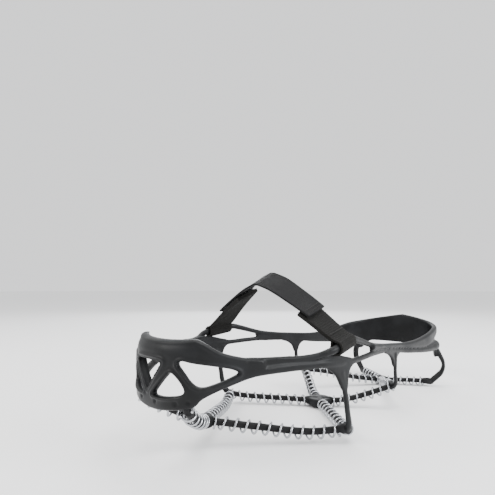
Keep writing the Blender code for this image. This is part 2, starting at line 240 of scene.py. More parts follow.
def makeGrain():
    # fine moulded skin: speckle over slow waves, with a slow colour drift
    group, nodes, given, output = newGroup("mouldGrain", [
        ("Vector", "NodeSocketVector", None), ("Size", "NodeSocketFloat", 1.0),
    ], [("Height", "NodeSocketFloat"), ("Drift", "NodeSocketFloat")])
    fine = nodes.noise(given["Vector"], nodes.math("DIVIDE", 1400.0, given["Size"]), 2.0)
    wide = nodes.noise(given["Vector"], nodes.math("DIVIDE", 240.0, given["Size"]), 3.0)
    height = nodes.math("ADD", nodes.math("MULTIPLY", fine, 0.55),
                        nodes.math("MULTIPLY", wide, 0.45))
    drift = nodes.spread(nodes.noise(given["Vector"], 42.0, 4.0, 0.6), 0.35, 0.68)
    fill(nodes, output, {"Height": height, "Drift": drift})
    return group


def makeWear():
    # rubbed edges: where the surface bulges, broken up by a patchy noise
    group, nodes, given, output = newGroup("edgeWear", [
        ("Vector", "NodeSocketVector", None), ("Start", "NodeSocketFloat", 0.52),
        ("Full", "NodeSocketFloat", 0.62),
    ], [("Mask", "NodeSocketFloat")])
    bulge = nodes.add("ShaderNodeNewGeometry").outputs["Pointiness"]
    edge = nodes.add("ShaderNodeMapRange", {
        "Value": bulge, "From Min": given["Start"], "From Max": given["Full"],
    }).outputs[0]
    patch = nodes.spread(nodes.noise(given["Vector"], 260.0, 4.0, 0.7), 0.38, 0.66)
    fill(nodes, output, {"Mask": nodes.math("MULTIPLY", edge, patch, True)})
    return group


def makeDust():
    # pale dust on what faces up, thicker in patches
    group, nodes, given, output = newGroup("settledDust", [
        ("Vector", "NodeSocketVector", None), ("Amount", "NodeSocketFloat", 0.3),
    ], [("Mask", "NodeSocketFloat")])
    normal = nodes.add("ShaderNodeNewGeometry").outputs["Normal"]
    up = nodes.add("ShaderNodeSeparateXYZ", {0: normal}).outputs["Z"]
    facing = nodes.spread(up, -0.1, 0.9)
    patch = nodes.spread(nodes.noise(given["Vector"], 90.0, 5.0, 0.65), 0.4, 0.75)
    mask = nodes.math("MULTIPLY", nodes.math("MULTIPLY", facing, patch), given["Amount"], True)
    fill(nodes, output, {"Mask": mask})
    return group


def makeWeave():
    # plain weave from a UV map in millimetres: crossing threads that go over and under
    group, nodes, given, output = newGroup("plainWeave", [
        ("Vector", "NodeSocketVector", None), ("Thread", "NodeSocketFloat", 0.6),
        ("Along", "NodeSocketFloat", 1.0),
    ], [("Height", "NodeSocketFloat"), ("Tone", "NodeSocketFloat")])
    split = nodes.add("ShaderNodeSeparateXYZ", {0: given["Vector"]}).outputs
    turn = nodes.math("DIVIDE", math.pi, given["Thread"])
    warp = nodes.math("MULTIPLY", split["Y"], turn)
    weft = nodes.math("MULTIPLY", nodes.math("MULTIPLY", split["X"], turn), given["Along"])
    warpRound = nodes.math("ABSOLUTE", nodes.math("SINE", warp, 0.0), 0.0)
    weftRound = nodes.math("ABSOLUTE", nodes.math("SINE", weft, 0.0), 0.0)
    over = nodes.math("MULTIPLY", nodes.math("SINE", nodes.math("MULTIPLY", warp, 0.5), 0.0),
                      nodes.math("SINE", nodes.math("MULTIPLY", weft, 0.5), 0.0))
    swap = nodes.spread(over, -0.25, 0.25)
    height = nodes.add("ShaderNodeMix", {0: swap, 2: warpRound, 3: weftRound}).outputs[0]
    fibre = nodes.noise(given["Vector"], 3.2, 3.0, 0.7)
    tone = nodes.math("ADD", nodes.math("MULTIPLY", height, 0.6),
                      nodes.math("MULTIPLY", fibre, 0.4))
    fill(nodes, output, {"Height": height, "Tone": tone})
    return group


groups = {"grain": makeGrain(), "wear": makeWear(), "dust": makeDust(), "weave": makeWeave()}


def startMaterial(name, **sockets):
    material = plainMaterial(name, (0.5, 0.5, 0.5), 0.5)
    nodes = Nodes(material.node_tree)
    shader = material.node_tree.nodes["Principled BSDF"]
    for label, value in sockets.items():
        shader.inputs[label.replace("_", " ")].default_value = value
    place = nodes.add("ShaderNodeTexCoord").outputs
    return material, nodes, shader, place


def useGroup(nodes, key, inputs):
    return nodes.add("ShaderNodeGroup", inputs, node_tree=groups[key]).outputs


def connect(nodes, shader, **sockets):
    for label, value in sockets.items():
        nodes.tree.links.new(value, shader.inputs[label.replace("_", " ")])


def bump(nodes, height, strength, distance):
    return nodes.add("ShaderNodeBump", {
        "Height": height, "Strength": strength, "Distance": distance,
    }).outputs[0]


def rubberMaterial(name, deep, light, worn, dusty, roughness, grain, dust, wear=(0.53, 0.64)):
    material, nodes, shader, place = startMaterial(name, Specular_IOR_Level=0.16)
    skin = useGroup(nodes, "grain", {"Vector": place["Object"], "Size": grain})
    rubbed = useGroup(nodes, "wear", {
        "Vector": place["Object"], "Start": wear[0], "Full": wear[1]})
    dustMask = useGroup(nodes, "dust", {"Vector": place["Object"], "Amount": dust})["Mask"]
    colour = nodes.blend(skin["Drift"], (*deep, 1), (*light, 1))
    colour = nodes.blend(rubbed["Mask"], colour, (*worn, 1))
    colour = nodes.blend(dustMask, colour, (*dusty, 1))
    rough = nodes.spread(skin["Drift"], 0.0, 1.0, roughness - 0.05, roughness + 0.06)
    rough = nodes.math("ADD", rough, nodes.math("MULTIPLY", dustMask, 0.5), True)
    connect(nodes, shader, Base_Color=colour, Roughness=rough,
            Normal=bump(nodes, skin["Height"], 0.35, 0.00022))
    return material


def steelMaterial(name):
    material, nodes, shader, place = startMaterial(name, Metallic=1.0)
    fine = nodes.noise(place["Object"], 1500.0, 3.0, 0.7)
    grime = nodes.spread(nodes.noise(place["Object"], 210.0, 5.0, 0.65), 0.56, 0.74)
    colour = nodes.blend(fine, (0.36, 0.37, 0.39, 1), (0.52, 0.53, 0.55, 1))
    colour = nodes.blend(nodes.math("MULTIPLY", grime, 0.55), colour, (0.13, 0.125, 0.12, 1))
    rough = nodes.math("ADD", nodes.spread(fine, 0.3, 0.7, 0.16, 0.3),
                       nodes.math("MULTIPLY", grime, 0.25))
    connect(nodes, shader, Base_Color=colour, Roughness=rough,
            Normal=bump(nodes, fine, 0.12, 0.0001))
    return material


def clothMaterial(name, dark, pale, thread, along, roughness, strength):
    material, nodes, shader, place = startMaterial(name, Specular_IOR_Level=0.15)
    weave = useGroup(nodes, "weave", {"Vector": place["UV"], "Thread": thread, "Along": along})
    drift = nodes.spread(nodes.noise(place["Object"], 60.0, 4.0), 0.3, 0.7)
    colour = nodes.blend(weave["Tone"], (*dark, 1), (*pale, 1))
    colour = nodes.blend(nodes.math("MULTIPLY", drift, 0.35), colour, (*dark, 1))
    dustMask = useGroup(nodes, "dust", {"Vector": place["Object"], "Amount": 0.18})["Mask"]
    colour = nodes.blend(dustMask, colour, (0.02, 0.019, 0.018, 1))
    rough = nodes.spread(weave["Tone"], 0.0, 1.0, roughness + 0.08, roughness - 0.06)
    connect(nodes, shader, Base_Color=colour, Roughness=rough,
            Normal=bump(nodes, weave["Height"], strength, 0.00025))
    return material


def napMaterial(name, dark, pale, scale, strength):
    material, nodes, shader, place = startMaterial(
        name, Sheen_Weight=0.03, Sheen_Roughness=0.6, Specular_IOR_Level=0.15)
    pile = nodes.noise(place["Object"], scale, 4.0, 0.75)
    clump = nodes.noise(place["Object"], scale * 0.22, 3.0)
    height = nodes.math("ADD", nodes.math("MULTIPLY", pile, 0.7),
                        nodes.math("MULTIPLY", clump, 0.5))
    colour = nodes.blend(nodes.spread(height, 0.4, 0.8), (*dark, 1), (*pale, 1))
    connect(nodes, shader, Base_Color=colour, Roughness=nodes.spread(pile, 0.2, 0.8, 0.98, 0.8),
            Normal=bump(nodes, height, strength, 0.0006))
    return material


finish = {
    "moulded": rubberMaterial("mouldedRubber", (0.005, 0.0052, 0.0056), (0.0095, 0.01, 0.011),
                              (0.036, 0.037, 0.04), (0.06, 0.059, 0.056), 0.42, 1.0, 0.16),
    "cord": rubberMaterial("cordRubber", (0.005, 0.005, 0.0055), (0.009, 0.009, 0.01),
                           (0.022, 0.022, 0.023), (0.05, 0.048, 0.044), 0.45, 0.7, 0.15),
    "steel": steelMaterial("springSteel"),
    "webbing": clothMaterial("ribbedWebbing", (0.002, 0.002, 0.002), (0.013, 0.0125, 0.011),
                             0.45, 1.0, 0.8, 0.5),
    "strap": clothMaterial("strapNylon", (0.0018, 0.0018, 0.002), (0.006, 0.006, 0.0066),
                           0.32, 0.5, 0.62, 0.35),
    "hook": napMaterial("hookTape", (0.004, 0.004, 0.004), (0.03, 0.03, 0.032), 2600.0, 1.0),
    "loop": napMaterial("loopTape", (0.006, 0.006, 0.006), (0.045, 0.045, 0.048), 1500.0, 0.9),
    "thread": clothMaterial("seamThread", (0.014, 0.014, 0.014), (0.075, 0.073, 0.07),
                            0.2, 1.0, 0.7, 0.4),
}

# The boot's outline, which the rubber follows

boot = {
    "halfOutline": [
        (0, -157.4), (13, -156.2), (25, -150.4), (35, -138.6), (43.2, -121.5), (50, -102),
        (56.5, -83), (60, -64), (60, -42), (56, -14), (51, 14), (48.5, 45), (48, 80), (47, 110),
        (42, 134), (31, 149), (16, 155.8), (0, 157.6),
    ],
    "before": (-13, -156.2), "after": (-16, 155.8),
    # the bumper curls in over the toe cap and under the toe
    "curlFull": 8, "curlEnd": 52, "topFrom": 59, "topSpan": 11, "topIn": 5.2,
    "lowFrom": 39, "lowSpan": 8, "lowIn": 1.1,
}


def smoothPath(points, steps=8):
    given = [Vector((*p, 0)[:3]) for p in points]
    ends = [2 * given[0] - given[1], *given, 2 * given[-1] - given[-2]]
    path = []
    for a, b, c, d in zip(ends, ends[1:], ends[2:], ends[3:]):
        for step in range(steps):
            t = step / steps
            path.append(0.5 * (2 * b + (c - a) * t + (2 * a - 5 * b + 4 * c - d) * t**2
                               + (3 * b - a - 3 * c + d) * t**3))
    return [*path, given[-1]]


def lengthsOf(path):
    total = [0.0]
    for a, b in zip(path, path[1:]):
        total.append(total[-1] + (b - a).length)
    return total


def pointAt(path, lengths, distance):
    last = len(path) - 2
    i = next((k for k in range(last) if lengths[k + 1] >= distance), last)
    direction = (path[i + 1] - path[i]).normalized()
    return path[i] + direction * (distance - lengths[i]), direction


class Outline:
    # u runs along the outline from the toe centre, w outwards from it
    def __init__(self):
        steps = 8
        drawn = [boot["before"], *boot["halfOutline"], boot["after"]]
        path = smoothPath(drawn, steps)[steps:-steps]
        self.at = np.array([[p.x, p.y] for p in path])
        self.u = np.array(lengthsOf(path))
        self.girth = self.u[-1]
        along = np.gradient(self.at, self.u, axis=0)
        along /= np.linalg.norm(along, axis=1)[:, None]
        self.along = along
        self.dense = np.linspace(0, self.girth, 8000)

    def frameAt(self, u):
        place = np.stack([np.interp(u, self.u, self.at[:, k]) for k in (0, 1)], -1)
        along = np.stack([np.interp(u, self.u, self.along[:, k]) for k in (0, 1)], -1)
        along /= np.linalg.norm(along, axis=-1)[..., None]
        return place, np.stack([along[..., 1], -along[..., 0]], -1)

    def uAtY(self, y):
        return float(np.interp(y, self.at[:, 1], self.u))

    def flatOf(self, x, y, z):
        place, normal = self.frameAt(self.dense)
        offset = np.array([x, y]) - place
        k = int(np.argmin((offset ** 2).sum(1)))
        return (float(self.dense[k]), z, float(offset[k] @ normal[k]))


outline = Outline()


def readVerts(obj):
    found = np.empty(len(obj.data.vertices) * 3)
    obj.data.vertices.foreach_get("co", found)
    return found.reshape(-1, 3) / mm


def writeVerts(obj, points):
    obj.data.vertices.foreach_set("co", (points * mm).ravel())
    obj.data.update()


def wrapRound(obj):
    # takes the flat moulding (u, height, w) round the boot
    flat = readVerts(obj)
    u = np.clip(flat[:, 0], 0, outline.girth)
    place, normal = outline.frameAt(u)
    fade = np.clip((boot["curlEnd"] - u) / (boot["curlEnd"] - boot["curlFull"]), 0, 1)
    over = np.clip((flat[:, 1] - boot["topFrom"]) / boot["topSpan"], 0, 1.2) ** 3 * boot["topIn"]
    under = np.clip((boot["lowFrom"] - flat[:, 1]) / boot["lowSpan"], 0, 1.2) ** 2 * boot["lowIn"]
    lean = (over + under) * fade * fade * (3 - 2 * fade)
    at = place + normal * (flat[:, 2] - lean)[:, None]
    seam = (flat[:, 0] < 1e-3) | (flat[:, 0] > outline.girth - 1e-3)
    at[seam, 0] = 0
    writeVerts(obj, np.column_stack([at, flat[:, 1]]))


def rounded(points, radius, steps=4):
    # a closed outline with each corner taken off by a curve
    made = []
    count = len(points)
    for k in range(count):
        before, here, after = (Vector(points[(k + d) % count]) for d in (-1, 0, 1))
        a = here + (before - here).normalized() * min(radius, (before - here).length * 0.48)
        b = here + (after - here).normalized() * min(radius, (after - here).length * 0.48)
        for step in range(steps + 1):
            t = step / steps
            made.append(tuple(a * (1 - t) ** 2 + here * 2 * t * (1 - t) + b * t ** 2))
    return made


def plate(name, outlines, thick, soft, lift=0.0):
    # a flat sheet of rubber with soft edges, its first outline outside and the others its holes
    data = bpy.data.curves.new(name, "CURVE")
    data.dimensions = "2D"
    data.fill_mode = "BOTH"
    data.extrude = (thick / 2 - soft) * mm
    data.bevel_depth = soft * mm
    data.bevel_resolution = 2
    data.offset = -soft * mm
    for points in outlines:
        spline = data.splines.new("POLY")
        spline.points.add(len(points) - 1)
        for point, (x, y) in zip(spline.points, points):
            point.co = (x * mm, y * mm, 0, 1)
        spline.use_cyclic_u = True
    obj = bpy.data.objects.new(name, data)
    obj.location.z = (lift + thick / 2) * mm
    bpy.context.scene.collection.objects.link(obj)
    return asMesh(obj)


def bar(name, points, depth=1.0, ring=3):
    # a round bar through (u, height, w, radius), flattened to a share of its depth
    base = sum(p[2] for p in points) / len(points)
    data = bpy.data.curves.new(name, "CURVE")
    data.dimensions = "3D"
    data.bevel_depth = mm
    data.bevel_resolution = ring
    data.use_fill_caps = True
    data.resolution_u = 10
    spline = data.splines.new("BEZIER")
    spline.bezier_points.add(len(points) - 1)
    for point, (x, y, z, radius) in zip(spline.bezier_points, points):
        point.co = (x * mm, y * mm, (z - base) / depth * mm)
        point.handle_left_type = point.handle_right_type = "AUTO"
        point.radius = radius
    obj = bpy.data.objects.new(name, data)
    obj.location.z = base * mm
    obj.scale.z = depth
    bpy.context.scene.collection.objects.link(obj)
    return asMesh(obj)


def ball(name, centre, radii):
    bpy.ops.mesh.primitive_uv_sphere_add(segments=24, ring_count=16, radius=mm)
    obj = bpy.context.object
    obj.name = name
    obj.location = Vector(centre) * mm
    obj.scale = radii
    return settle(obj)


# The toe bumper and the rails, drawn flat: distance along the outline, height

bumper = {
    "thick": 4.0, "soft": 1.3,
    "edge": [
        (-10, 31.4), (0, 30.8), (10, 31.6), (20, 33), (27, 34.2), (30.5, 35.8), (32.4, 38.6),
        (35.5, 40.5), (39.8, 42.5), (44.2, 44.3), (48.8, 45.8), (56, 48.2), (68, 50.4), (68, 58.4),
        (56, 59.8), (47.2, 61.9), (42, 63.7), (38.5, 65.9), (34.5, 68.5), (29.8, 70.5),
        (24.8, 70), (18, 69.6), (13.5, 69.4), (8, 69.3), (0, 69.2), (-8, 69.3),
    ],
    "centreWindow": [
        (10.6, 58.8), (12.6, 57.6), (9.2, 52.4), (0.9, 41.4), (-0.9, 41.4), (-9.2, 52.4),
        (-12.6, 57.6), (-10.6, 58.8),
    ],
    "flankWindow": [
        (16.4, 52.6), (17.9, 52.2), (20.8, 49.8), (23.3, 46.5), (24.8, 43.2), (23, 41.2),
        (17.5, 40.1), (11.2, 39.3), (3.6, 39.4),
    ],
    "sideWindow": [
        (20.4, 57.4), (22.4, 59.2), (27.5, 57.9), (34.8, 56.8), (40.5, 56), (48.2, 54.4),
        (53.4, 52.2), (45.2, 48.8), (38.8, 46.7), (34.8, 45.5), (31, 45.6), (27.6, 48.3),
        (24.6, 52.5),
    ],
    "windows": ("centreWindow", "flankWindow", "sideWindow"),
    "edgeCorner": 3.5, "corner": 2.2,
    # the raised lip round each window and under the top edge
    "lip": 0.8, "lipPlace": 1.0, "lipWidth": 0.95, "reliefFrom": 1.6, "reliefEnd": 72,
    "topLip": [
        (-8, 68.1), (0, 68), (8, 68.1), (13.5, 68.2), (18, 68.4), (24.6, 68.8), (29.2, 69.2),
        (33.8, 67.2), (37.8, 64.6), (41.4, 62.4), (46.8, 60.6), (56, 58.5),
    ],
    # shallow round dents in the lower band
    "dents": [(7, 36.4, 1.6), (20.5, 37, 1.6), (26.8, 38.2, 1.5)], "dentDepth": 0.8,
}
# y, height of the top, height of the bottom
rails = {
    "front": [
        (-128, 60, 49), (-120, 59.6, 49.2), (-108, 59, 50), (-92, 58.6, 50.2), (-77, 58.4, 50.2),
        (-68, 57.4, 49), (-58, 55, 48), (-52, 53.7, 48.7),
    ],
    "rear": [
        (-19, 58.4, 50), (-12, 57.4, 49.2), (0, 56.2, 48.6), (22, 54.4, 47.4), (45, 52.5, 44.2),
        (58, 52, 42.6), (74, 52.2, 41), (87, 53.4, 40), (100, 55, 38.8), (112, 57, 38.2),
        (124, 58.8, 37.8), (135, 60.2, 37.6), (145, 61.6, 37.6), (152, 64, 37.4),
    ],
    "rearEnd": (68.5, 37), "thick": 2.0, "soft": 0.9, "frontThick": 3.0,
    # the broad upper ridge of the rear rail, above the groove
    "ridge": [
        (-19, 58.8, 54.4), (-12, 57.8, 53.6), (0, 56.5, 52.7), (22, 54.6, 51.3), (45, 52.7, 48.8),
        (58, 52.2, 47.2), (74, 52.5, 45.8), (87, 53.6, 44.8), (100, 55.3, 45.2), (110, 56.9, 47),
        (122, 58.9, 50.6), (133, 60.3, 53.8), (143, 61.8, 54.8), (152, 64.2, 57.2),
    ],
    "ridgeEnd": (69, 61), "ridgeThick": 4.3, "ridgeSoft": 1.6,
    # x, y, height and radius of each bead; the upper one rises to carry the strap
    "upperBead": [
        (44.8, -122, 58.4, 1.2), (50.8, -106, 57.7, 1.5), (55.8, -92, 57.2, 1.7),
        (60, -83, 58, 2.0), (62.8, -78, 59.4, 2.3), (64.4, -73, 60.8, 2.5), (62.5, -60, 62.7, 2.5),
        (60.6, -47, 64.6, 2.5), (59.2, -37, 62.7, 2.3), (58, -25, 59.6, 2.1), (57, -14, 57, 2.0),
        (54.4, 0, 55.4, 1.5), (51.4, 20, 53.4, 1.1),
    ],
    "lowerBead": [
        (44.6, -124, 51.8, 2.4), (50.8, -106, 52.6, 2.8), (57, -88, 52.8, 2.7),
        (60.8, -74, 52.4, 2.6), (61.6, -64, 51.4, 2.6), (61.6, -56, 50.8, 2.3),
        (61.4, -46, 50.9, 2.0), (60, -31, 51.2, 2.0),
        (57.8, -16, 51.4, 2.0), (54.8, 0, 50.7, 1.9), (51.8, 22, 49.3, 1.8), (50.4, 45, 46.3, 2.0),
        (50, 58, 44.6, 2.1), (49.9, 74, 43.1, 2.2), (49.8, 87, 42, 2.4), (49.6, 100, 41.3, 2.7),
        (49, 112, 41, 3.1), (48, 124, 41.2, 3.6), (44.8, 135.6, 41.6, 3.9),
    ],
    "heelLower": [(145, 41.6, 4.0), (152, 41.6, 4.2)], "heelLowerEnd": (41.6, 4.4),
    "upperDepth": 0.95, "lowerDepth": 0.8,
}
# struts: bar points as x, y, height, radius; web as y and height
struts = {
    "front": {
        "bar": [
            (61.6, -62.4, 46, 3.2), (61.9, -60.4, 39, 2.4), (61.9, -58.2, 30, 2.3),
            (61.6, -55.8, 18, 2.5), (61, -54, 12.4, 2.7), (58.4, -51.2, 8.4, 2.8),
        ],
        "web": [
            (-90, 52), (-80, 50.6), (-73, 48.6), (-67.4, 44), (-64, 38), (-61.6, 34),
            (-56.6, 34), (-56, 41), (-54, 46.4), (-50, 49), (-43, 50), (-43, 52), (-56, 54),
            (-90, 54),
        ],
        "boss": (57.5, -50.5, 7.6),
    },
    "arch": {
        "bar": [
            (51.4, 31.4, 45, 3.2), (51.6, 31.2, 38, 2.3), (51.4, 31, 33, 2.2),
            (51, 31.8, 26, 2.3), (50, 34, 21.8, 2.5), (46.6, 36.6, 18.6, 2.7),
        ],
        "web": [
            (10, 48), (18.5, 46), (25, 42), (27.8, 35), (32.2, 35), (34.6, 41.4), (40, 44.6),
            (50, 45), (50, 48), (10, 50),
        ],
        "boss": (45, 37, 18),
    },
    "heel": {
        "bar": [
            (43.4, 136.2, 38, 4.2), (47, 138, 30.5, 3.4), (49.2, 139, 23, 3.1),
            (48, 138.6, 16.6, 3.1), (43.4, 137, 10.4, 3.2), (39, 134.6, 6, 3.2),
        ],
        "web": [
            (116, 41), (124, 38.4), (130.4, 34.6), (133, 29), (139.6, 29), (142.4, 34),
            (147, 37.4), (152, 38.6), (152, 44), (116, 45),
        ],
        "boss": (38, 134, 4.8),
    },
    "depth": 0.58, "webThick": 2.6, "webSoft": 1.1, "webCorner": 3.0, "webLift": 0.4,
    "bossRadii": (2.9, 2.9, 2.9),
}
skin = {"voxel": 0.655, "smoothing": 5, "factor": 0.5}


def bandOutline(stations):
    top = [(u, high) for u, high, _ in stations]
    bottom = [(u, low) for u, _, low in stations]
    path = [tuple(p.xy) for p in smoothPath(top, 4)]
    return path + [tuple(p.xy) for p in reversed(smoothPath(bottom, 4))]


def beadPath(points, ending=(), last=None, beyond=9):
    made = []
    for x, y, z, radius in points:
        u, v, w = outline.flatOf(x, y, z)
        made.append((u, v, w, radius))
    w = made[-1][2]
    made += [(outline.uAtY(y), z, w, radius) for y, z, radius in ending]
    if last:
        made += [(outline.girth + k, last[0], w, last[1]) for k in (0, beyond)]
    return made


def railOutline(stations, end=None, beyond=9):
    made = [(outline.uAtY(y), high, low) for y, high, low in stations]
    if end:
        made += [(outline.girth + k, *end) for k in (0, beyond)]
    return [bandOutline(made)]


def windowOutlines():
    return [rounded(bumper[key], bumper["corner"]) for key in bumper["windows"]]


def flatHalf():
    edge = rounded(bumper["edge"], bumper["edgeCorner"])
    made = [
        plate("bumperPlate", [edge, *windowOutlines()], bumper["thick"], bumper["soft"]),
        plate("frontRailPlate", railOutline(rails["front"]), rails["frontThick"], rails["soft"]),
        plate("rearRailPlate", railOutline(rails["rear"], rails["rearEnd"]), rails["thick"],
              rails["soft"]),
        plate("rearRidge", railOutline(rails["ridge"], rails["ridgeEnd"]), rails["ridgeThick"],
              rails["ridgeSoft"]),
        bar("upperBead", beadPath(rails["upperBead"]), rails["upperDepth"]),
        bar("lowerBead", beadPath(rails["lowerBead"], rails["heelLower"], rails["heelLowerEnd"]),
            rails["lowerDepth"]),
    ]
    for name in ("front", "arch", "heel"):
        strut = struts[name]
        points = [(*outline.flatOf(x, y, z), radius) for x, y, z, radius in strut["bar"]]
        made.append(bar(f"{name}StrutBar", points, struts["depth"]))
        web = rounded([(outline.uAtY(y), z) for y, z in strut["web"]], struts["webCorner"])
        made.append(plate(f"{name}StrutWeb", [web], struts["webThick"], struts["webSoft"],
                          struts["webLift"]))
        made.append(ball(f"{name}Boss", outline.flatOf(*strut["boss"]), struts["bossRadii"]))
    return joinAll("mouldedHarness", made)


def nearness(points, path, closed):
    # distance of each flat point to a drawn line
    line = np.array(path, float)
    ends = np.roll(line, -1, 0) if closed else line[1:]
    starts = line if closed else line[:-1]
    best = np.full(len(points), 1e9)
    for a, b in zip(starts, ends):
        d = b - a
        t = np.clip(((points - a) @ d) / max(d @ d, 1e-9), 0, 1)
        best = np.minimum(best, np.linalg.norm(points - a - t[:, None] * d, axis=1))
    return best


def addRelief(obj):
    # lips and dents on the outer face of the bumper
    flat = readVerts(obj)
    outer = np.clip((flat[:, 2] - bumper["reliefFrom"]) / bumper["reliefFrom"], 0, 1)
    atToe = flat[:, 0] < bumper["reliefEnd"]
    uv = flat[:, :2]
    rise = np.zeros(len(flat))
    lines = [(path, True) for path in windowOutlines()] + [(bumper["topLip"], False)]
    for path, closed in lines:
        away = nearness(uv[atToe], path, closed) - (bumper["lipPlace"] if closed else 0)
        lip = np.exp(-((away / bumper["lipWidth"]) ** 2)) * bumper["lip"]
        rise[atToe] = np.maximum(rise[atToe], lip)
    for x, y, radius in bumper["dents"]:
        away = np.hypot(uv[:, 0] - x, uv[:, 1] - y) / radius
        rise -= np.clip(1 - away ** 2, 0, 1) ** 1.5 * bumper["dentDepth"]
    flat[:, 2] += rise * outer
    writeVerts(obj, flat)


def makeHarness():
    obj = addSkin(flatHalf(), skin)
    addRelief(obj)
    for distance, sign in ((0, -1), (outline.girth, 1)):
        editAll(obj, lambda: bpy.ops.mesh.bisect(
            plane_co=(distance * mm, 0, 0), plane_no=(sign, 0, 0), clear_outer=True,
            threshold=1e-7))
    wrapRound(obj)
    mirror = obj.modifiers.new("otherSide", "MIRROR")
    mirror.merge_threshold = 0.0001
    applyAll(obj)
    editAll(obj, fixNormals)
    print("harness:", len(obj.data.polygons), "faces")
    return dress(obj, finish["moulded"])


makeCamera()
makeStudio()
print("studio and materials done")
harness = makeHarness()
sideNames = ("left", "right")
moulded = ["toe_bumper", "heel_band"]
for part in ("front_rail", "strap_bar", "side_branch", "mid_rail", "rear_rail", "front_strut",
             "arch_strut", "heel_strut", "front_corner", "arch_corner", "heel_corner"):
    moulded += [f"{part}_{side}" for side in sideNames]
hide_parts(*moulded)
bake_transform(harness)

# Cords, springs and the joints under the sole

under = {
    "toeJoint": (0, -121, 15.2), "frontCorner": (57.5, -50.5, 8.4), "hub": (0, -2, 4.4),
    "archCorner": (45, 37, 18), "rearJoint": (0, 106, 4.4), "heelCorner": (38, 134, 4.8),
    "stubTop": (23.5, -149.5, 30), "stubRoot": (23.8, -152.6, 36),
    # what a spring leaves free at each kind of end
    "bossGap": 4.8, "hubGap": 10.4, "endGap": -0.6, "heelGap": 7.0, "rootGap": 2.8,
    "cordRadius": 2.15, "cordRise": 0.7,
    "collarRadius": 3.2, "collarLength": 2.6, "collarLead": 1.2, "steps": 14,
}
spring = {
    "radius": 3.7, "wire": 0.7, "pitch": 7.4, "inset": 1.0, "pointsPerTurn": 26,
    # turns that lie close together at the ends, and how slowly they advance
    "closed": 1.2, "slow": 0.28,
}


def routes():
    u = under
    boss, hub, end = u["bossGap"], u["hubGap"], u["endGap"]
    return {
        "toe_stub": ([u["toeJoint"], (12, -134.5, 20.5), u["stubTop"]], boss, 0),
        "toe_run": ([u["toeJoint"], (20, -96, 10.4), (41, -70, 6.4), u["frontCorner"]], boss,
                    boss),
        "front_run": ([u["frontCorner"], (45, -40, 6), u["hub"]], end, hub),
        "arch_run": ([u["hub"], (16, 11, 5.6), (31, 25, 11), u["archCorner"]], hub, end),
        "rear_run": ([u["archCorner"], (31, 57, 14), (15, 82, 7.6), u["rearJoint"]], boss, boss),
        "heel_run": ([u["rearJoint"], u["heelCorner"]], boss, u["heelGap"]),
    }


def tube(name, path, radii, ring, material):
    data = bpy.data.curves.new(name, "CURVE")
    data.dimensions = "3D"
    data.bevel_depth = mm
    data.bevel_resolution = ring
    data.use_fill_caps = True
    spline = data.splines.new("POLY")
    spline.points.add(len(path) - 1)
    for point, place, radius in zip(spline.points, path, radii):
        point.co = (*(place * mm), 1)
        point.radius = radius
    obj = bpy.data.objects.new(name, data)
    bpy.context.scene.collection.objects.link(obj)
    obj = asMesh(obj)
    editAll(obj, lambda: bpy.ops.mesh.remove_doubles(threshold=1e-6), fixNormals)
    return dress(obj, material, 50)


def onSide(route, side):
    return [Vector((p.x * side, p.y, p.z)) for p in smoothPath(route, under["steps"])]


def springPath(path, start, end, side):
    # turns of even pitch, with the wire closed up at both ends
    lengths = lengthsOf(path)
    low, high = start + spring["inset"], lengths[-1] - end - spring["inset"]
    turns = round((lengths[-1] - start - end) / spring["pitch"] * 2) / 2 + spring["closed"]
    count = round(turns * spring["pointsPerTurn"])
    closing = spring["closed"] / turns
    slow = spring["slow"]
    points = []
    for k in range(count + 1):
        t = k / count
        if t < closing / 2:
            share = t * slow
        elif t > 1 - closing / 2:
            share = 1 - (1 - t) * slow
        else:
            edge = closing / 2 * slow
            share = edge + (t - closing / 2) / (1 - closing) * (1 - 2 * edge)
        place, along = pointAt(path, lengths, low + (high - low) * share)
        flat = along.cross(Vector((0, 0, 1))).normalized()
        rise = flat.cross(along)
        angle = 2 * math.pi * turns * t * side
        points.append(place + (flat * math.sin(angle) - rise * math.cos(angle)) * spring["radius"])
    return points


def cordRadii(path, start, end, hasRoot):
    lengths = lengthsOf(path)
    thin, thick = under["cordRadius"], under["collarRadius"]
    radii = []
    for at in lengths:
        near = at - start if hasRoot else min(at - start, lengths[-1] - at - end)
        share = min(1, max(0, 1 - (near + under["collarLead"]) / under["collarLength"]))
        radii.append(thin + (thick - thin) * share)
    return radii


def makeCords():
    for name, (route, start, end) in routes().items():
        for side, sideName in zip((-1, 1), sideNames):
            isStub = name == "toe_stub"
            path = onSide([*route, under["stubRoot"]] if isStub else route, side)
            last = len(path) - 1
            # the cord lies high inside its spring
            raised = [p + Vector((0, 0, under["cordRise"] * math.sin(math.pi * k / last) ** 0.5))
                      for k, p in enumerate(path)]
            cord = tube(f"{name}_{sideName}_core", raised, cordRadii(path, start, end, isStub), 4,
                        finish["cord"])
            wire = springPath(path, start, under["rootGap"] if isStub else end, side)
            coil = tube(f"{name}_{sideName}_spring", wire, [spring["wire"]] * len(wire), 2,
                        finish["steel"])
            for piece, node, slot in ((cord, "cord", "rubber"), (coil, "coil", "coil_steel")):
                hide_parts(f"{name}_{sideName}_{node}")
                if name == "rear_run":
                    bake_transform(piece)
                else:
                    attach(piece, "heel" if name == "heel_run" else "harness")
    print("cords and springs done")


